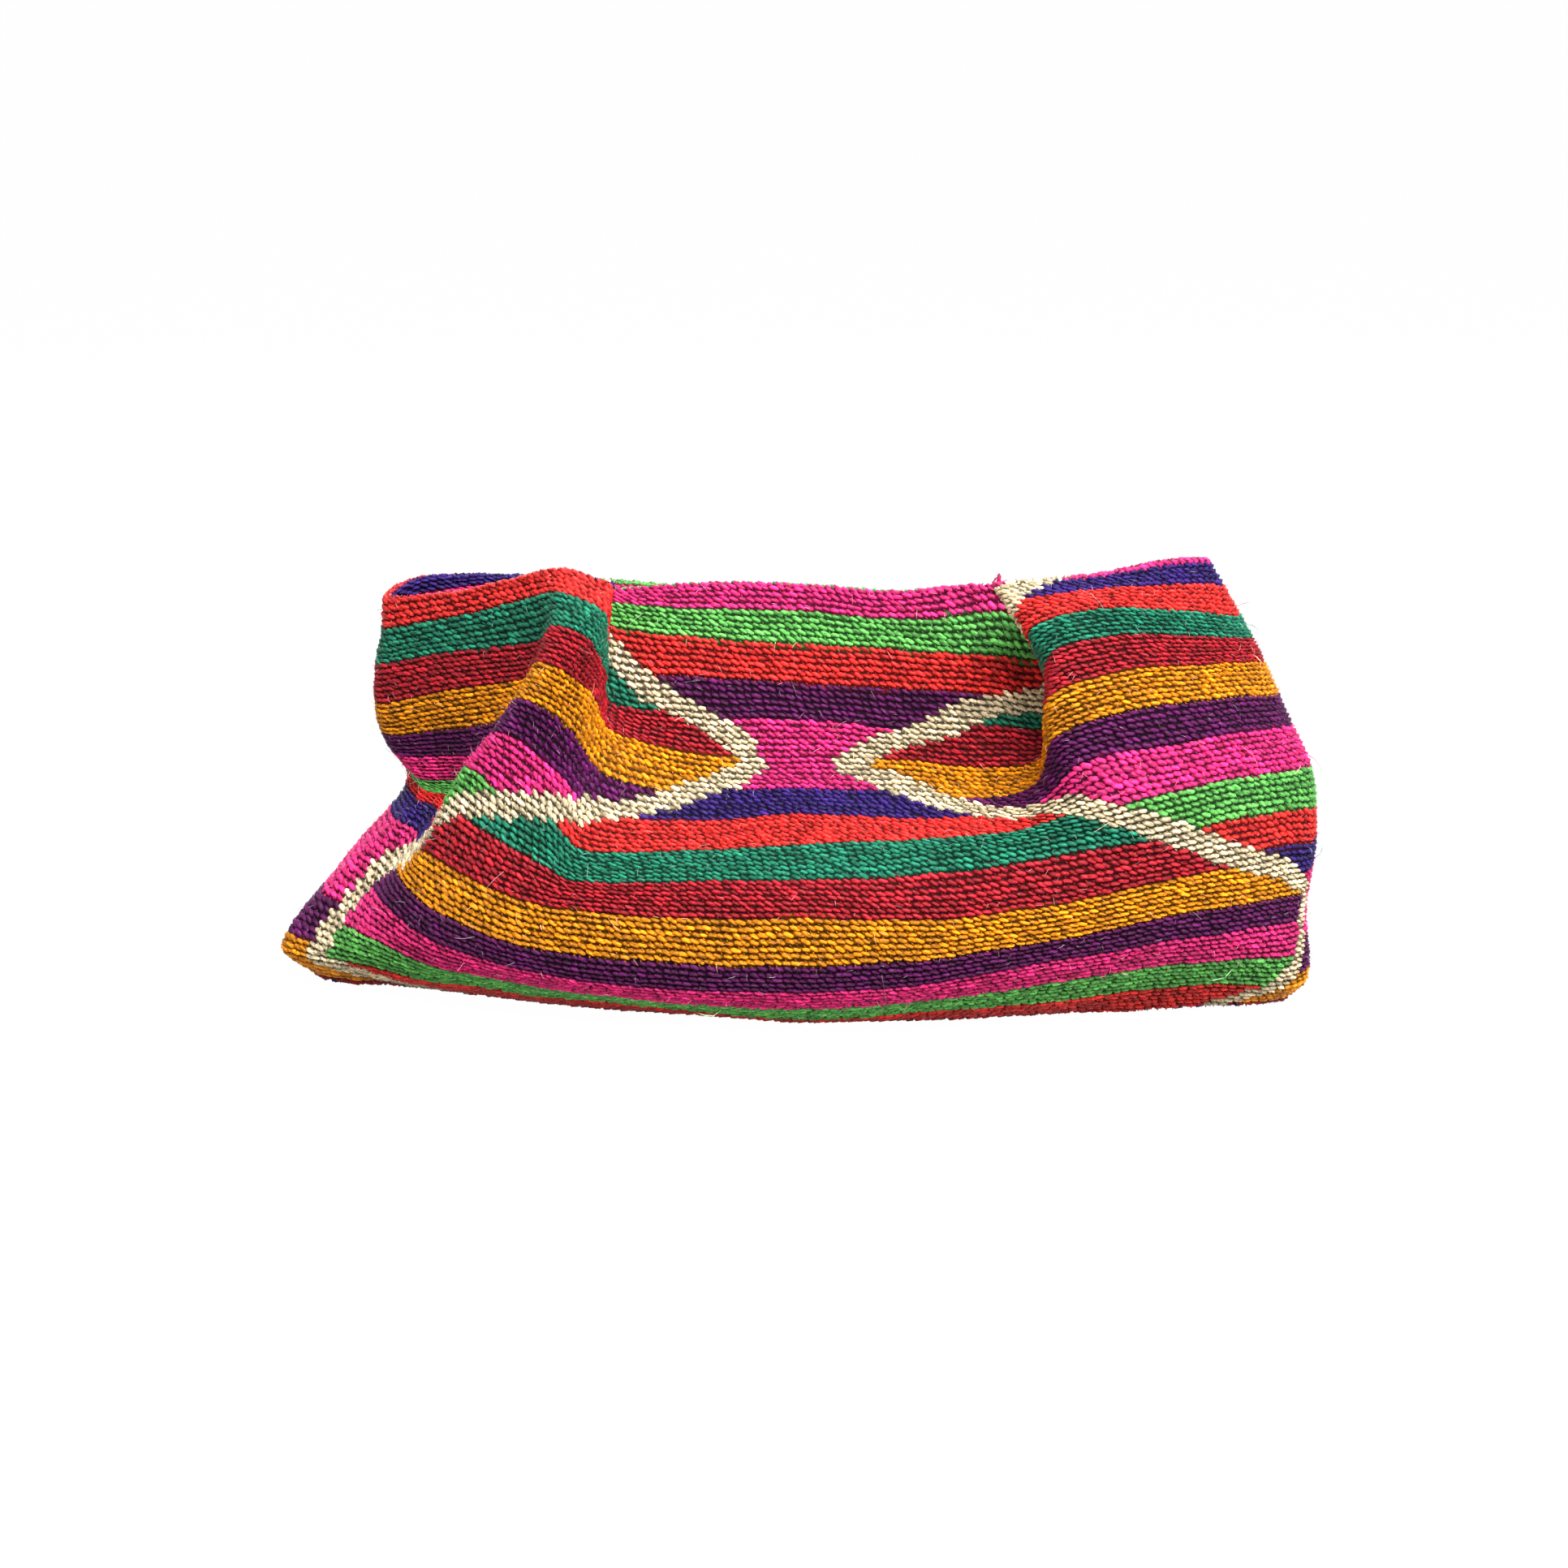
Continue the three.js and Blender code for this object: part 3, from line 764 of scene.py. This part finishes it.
class CLUTCH_OT_base_stitches(bpy.types.Operator):
    """Set plain rows of stitches on the flat base"""

    bl_idname = "clutch.base_stitches"
    bl_label = "Base Stitches"

    WIDTH = 0.0031  # width of a stitch along its row
    DEPTH_SHARE = 0.9  # depth of a stitch, as a share of that of the sides' stitches
    TURN, SIZE_SPREAD = 0.1, 0.0  # most that a stitch is turned, in radians, and share that its size varies by
    SEED_STEP = 5

    def execute(self, context):
        sizes, yarns = context.scene.clutch_sizes, context.scene.clutch_yarns
        edge = Fabric(sizes).wall_point(COLUMNS, np.full(ROUND, float(BASE_ROW)))[:, :2]
        draw = np.random.default_rng(sizes.seed + self.SEED_STEP)
        high, deep = sizes.row_height, self.DEPTH_SHARE * sizes.stitch_depth
        x, y = self.grid(edge, high)
        count = len(x)
        flat = np.zeros(count)
        values = {
            "place": np.stack([x, y, np.full(count, deep)], axis=1),
            "across": np.tile((1.0, 0.0, 0.0), (count, 1)), "outward": np.tile((0.0, 0.0, -1.0), (count, 1)),
            "size": np.tile((self.WIDTH, high, deep), (count, 1)), "tone": draw.uniform(0, 1, count),
            "cell": np.stack([x / self.WIDTH, -y / high, flat], axis=1),
            "yarn": with_alpha(np.tile(np.array(tuple(yarns.blue)), (count, 1))),
        }
        template = template_object("base_template", (
            grain_part(start=(-0.70, 0.50), bend=(-0.2, -0.1), end=(0.76, -0.3), width=0.34, height=0.9,
                       lean=0.2, shares=(0.25, 0.75), angles=DOME),
        ))
        material = bpy.data.materials[YARN_MATERIAL]
        piece = repeat_on_points("stitches_base", values, template, material, self.TURN, self.SIZE_SPREAD,
                                 sizes.seed)
        bake_map(piece.data, (-edge[:, 1].max() / high, -edge[:, 1].min() / high))
        hand_over(piece)
        bpy.data.objects.remove(template)
        return {"FINISHED"}

    def grid(self, edge, high):
        """Places of the stitches, in rows that are staggered by half a stitch, within the edge of the base."""
        low, top = edge.min(0), edge.max(0)
        x, y = np.meshgrid(np.arange(low[0], top[0], self.WIDTH), np.arange(low[1], top[1], high))
        x = (x + self.WIDTH / 2 * (np.arange(x.shape[0]) % 2)[:, None]).ravel()
        y = y.ravel()
        inside = np.zeros(len(x), bool)
        for a, b in zip(edge, np.roll(edge, -1, axis=0)):
            spans = (a[1] > y) != (b[1] > y)
            with np.errstate(divide="ignore", invalid="ignore"):
                inside ^= spans & (x < (b[0] - a[0]) * (y - a[1]) / (b[1] - a[1]) + a[0])
        return x[inside], y[inside]


class CLUTCH_OT_loose_fibres(bpy.types.Operator):
    """Set fine loose fibres that stand out of the yarn"""

    bl_idname = "clutch.loose_fibres"
    bl_label = "Loose Fibres"

    BARE_ROWS = 8  # rows above the base that have none
    LIFT = 0.25  # how steeply a fibre leaves the fabric
    LONG_SHARE = 0.03  # share of the fibres that are long
    LONG, SHORT = (0.006, 0.011), (0.0015, 0.004)  # ranges of their lengths
    THICK = 0.0001
    SUNK = 0.0004  # how far behind the bag's surface a fibre starts
    TONES = (0.4, 1)  # range of their tones
    DYED, BLEACHED = 0.75, 0.2  # share of its yarn's colour in a fibre, and white added to it
    TURN, SIZE_SPREAD = 0.4, 0.2  # most that a fibre is turned, in radians, and share that its size varies by
    MAP_TOP = 30  # row at the top of the map for baking
    SEED_STEP = 9

    def execute(self, context):
        sizes, yarns = context.scene.clutch_sizes, context.scene.clutch_yarns
        fabric = Fabric(sizes)
        draw = np.random.default_rng(sizes.seed + self.SEED_STEP)
        count = sizes.fibres
        stitch = draw.uniform(-ROUND / 2, ROUND / 2, count)
        first = BASE_ROW + self.BARE_ROWS
        row = first + (fabric.rim(stitch) - first) * draw.uniform(0, 1, count)
        point, across, upward, outward = fabric.frame(stitch, row)
        angle = draw.uniform(0, 2 * math.pi, count)[:, None]
        lie = unit(np.cos(angle) * unit(across) + np.sin(angle) * unit(upward) + self.LIFT * outward)
        length = np.where(draw.uniform(0, 1, count) < self.LONG_SHARE, draw.uniform(*self.LONG, count),
                          draw.uniform(*self.SHORT, count))
        values = {
            "place": point - self.SUNK * outward,
            "across": lie, "outward": unit(np.cross(lie, np.cross(outward, lie))),
            "size": np.stack([length, np.full(count, self.THICK), length], axis=1),
            "tone": draw.uniform(*self.TONES, count),
            "cell": np.stack([stitch, row, np.zeros(count)], axis=1),
            "yarn": with_alpha(self.DYED * yarn_colours(stitch, row, yarns) + self.BLEACHED),
        }
        template = template_object("fibre_template", (self.hair(),))
        material = bpy.data.materials[YARN_MATERIAL]
        piece = repeat_on_points("loose_fibres", values, template, material, self.TURN, self.SIZE_SPREAD,
                                 sizes.seed)
        bpy.data.objects.remove(template)
        bake_map(piece.data, (BASE_ROW, self.MAP_TOP))
        hand_over(piece)
        return {"FINISHED"}

    @staticmethod
    def hair():
        """A thin three-sided hair, one long, that lifts and comes down again."""
        shares, tip = (0.0, 0.35, 0.7), (1.0, 0.4, 0.1)
        sides = [math.radians(angle) for angle in (90, 210, 330)]
        arch, flatness, taper = 0.22, 0.02, 0.5
        n = len(sides)
        corners, along = [], []
        for share in shares:
            lift, thin = arch * math.sin(math.pi * share), 1 - taper * share
            corners += [(share, thin * math.cos(a), lift + flatness * thin * math.sin(a)) for a in sides]
            along += [share] * n
        corners.append(tip)
        along.append(1.0)
        last = n * (len(shares) - 1)
        faces = [(0, 2, 1)]
        for ring in range(0, last, n):
            for k in range(n):
                after = (k + 1) % n
                faces.append((ring + k, ring + after, ring + n + after, ring + n + k))
        faces += [(last + k, last + (k + 1) % n, last + n) for k in range(n)]
        around, rise = [0.3] * len(corners), [1.0] * len(corners)
        return corners, faces, along, around, rise


class CLUTCH_OT_stage(bpy.types.Operator):
    """Make the pale floor, the soft lights and the camera"""

    bl_idname = "clutch.stage"
    bl_label = "Stage"

    LAMPS = (  # name, place, width in metres and power in watts
        ("key_light", (0.4, -0.86, 1.5), 0.9, 43.0),
        ("side_light", (1.3, -0.6, 0.75), 0.8, 15.0),
        ("fill_light", (-0.9, -1.0, 0.8), 1.2, 0.4),
        ("top_light", (0.2, -0.1, 1.7), 1.0, 8.0),
        ("back_light", (-0.3, 1.4, 0.9), 1.2, 14.0),
    )
    LAMPS_FACE = Vector((0, 0, 0.07))
    WORLD_LIGHT = 0.3
    FLOOR_REACH = 40  # metres from the middle to each side of the floor
    FLOOR_GREY = (0.42, 0.42, 0.42, 1.0)  # what the floor gives back to the bag
    FLOOR_GLOW, GLOW_SHARE = 1.02, 0.97  # its white as it is seen, and the share of that over its shadows
    CAMERA_FACES = Vector((-0.004, 0, 0.078))
    CAMERA_DISTANCE = 1.1
    AZIMUTH, ELEVATION = math.radians(6), math.radians(15)
    SENSOR = 36  # width of the sensor in millimetres
    FOCAL_PIXELS, IMAGE_PIXELS = 3795, 1932  # focal length and image width, in pixels of the photograph

    def execute(self, context):
        self.floor()
        self.world(context)
        for lamp in self.LAMPS:
            self.lamp(*lamp)
        self.camera(context)
        return {"FINISHED"}

    def sees_background(self, s):
        """1 for a ray that shows the background itself, 0 for one that only lights."""
        camera, glossy, through = (s.node("ShaderNodeLightPath", output=f"Is {kind} Ray")
                                   for kind in ("Camera", "Glossy", "Transmission"))
        return camera + glossy + through

    def floor(self):
        s = Shader(bpy.data.materials.new("pale_floor"))
        plain = s.node("ShaderNodeBsdfDiffuse", values={"Color": self.FLOOR_GREY})
        white = s.node("ShaderNodeEmission", values={"Color": WHITE, "Strength": self.FLOOR_GLOW})
        share = self.GLOW_SHARE * self.sees_background(s)
        material = s.finish(s.node("ShaderNodeMixShader", values={0: share, 1: plain, 2: white}))
        far = self.FLOOR_REACH
        mesh = bpy.data.meshes.new("floor")
        mesh.from_pydata([(-far, -far, 0), (far, -far, 0), (far, far, 0), (-far, far, 0)], [], [(0, 1, 2, 3)])
        mesh.materials.append(material)
        new_object("floor", mesh)

    def world(self, context):
        s = Shader(bpy.data.worlds.new("studio"))
        soft, white = (s.node("ShaderNodeBackground", values={"Color": WHITE, "Strength": strength})
                       for strength in (self.WORLD_LIGHT, 1.0))
        mixed = s.node("ShaderNodeMixShader", values={0: self.sees_background(s), 1: soft, 2: white})
        context.scene.world = s.finish(mixed, "ShaderNodeOutputWorld")

    def lamp(self, name, place, width, power):
        lamp = bpy.data.lights.new(name, "AREA")
        lamp.size = width
        lamp.energy = power
        made = new_object(name, lamp)
        made.location = place
        made.rotation_euler = (self.LAMPS_FACE - Vector(place)).to_track_quat("-Z", "Y").to_euler()

    def camera(self, context):
        level = math.cos(self.ELEVATION)
        back = Vector((math.sin(self.AZIMUTH) * level, -math.cos(self.AZIMUTH) * level,
                       math.sin(self.ELEVATION)))
        lens = bpy.data.cameras.new("camera")
        lens.sensor_width = self.SENSOR
        lens.lens = self.SENSOR * self.FOCAL_PIXELS / self.IMAGE_PIXELS
        made = new_object("camera", lens)
        made.location = self.CAMERA_FACES + back * self.CAMERA_DISTANCE
        made.rotation_euler = (-back).to_track_quat("-Z", "Y").to_euler()
        context.scene.camera = made
        context.scene.view_settings.view_transform = "Standard"


class CLUTCH_PT_panel(bpy.types.Panel):
    """Sizes, yarns and building steps"""

    bl_idname = "CLUTCH_PT_panel"
    bl_label = "Crocheted Clutch"
    bl_space_type = "VIEW_3D"
    bl_region_type = "UI"
    bl_category = "Clutch"

    def draw(self, context):
        for group in (context.scene.clutch_sizes, context.scene.clutch_yarns):
            column = self.layout.column(align=True)
            for name in group.__annotations__:
                column.prop(group, name)
        for step in STEPS:
            self.layout.operator(step.bl_idname)


STEPS = (CLUTCH_OT_ground, CLUTCH_OT_stitches, CLUTCH_OT_base_stitches, CLUTCH_OT_loose_fibres, CLUTCH_OT_stage)
CLASSES = (ClutchSizes, ClutchYarns, *STEPS, CLUTCH_PT_panel)


def register():
    for cls in CLASSES:
        bpy.utils.register_class(cls)
    bpy.types.Scene.clutch_sizes = PointerProperty(type=ClutchSizes)
    bpy.types.Scene.clutch_yarns = PointerProperty(type=ClutchYarns)


def unregister():
    del bpy.types.Scene.clutch_yarns
    del bpy.types.Scene.clutch_sizes
    for cls in reversed(CLASSES):
        bpy.utils.unregister_class(cls)


def main():
    register()
    bpy.ops.clutch.ground()
    bpy.ops.clutch.stitches()
    bpy.ops.clutch.base_stitches()
    bpy.ops.clutch.loose_fibres()
    bpy.ops.clutch.stage()


if __name__ == "__main__":
    main()
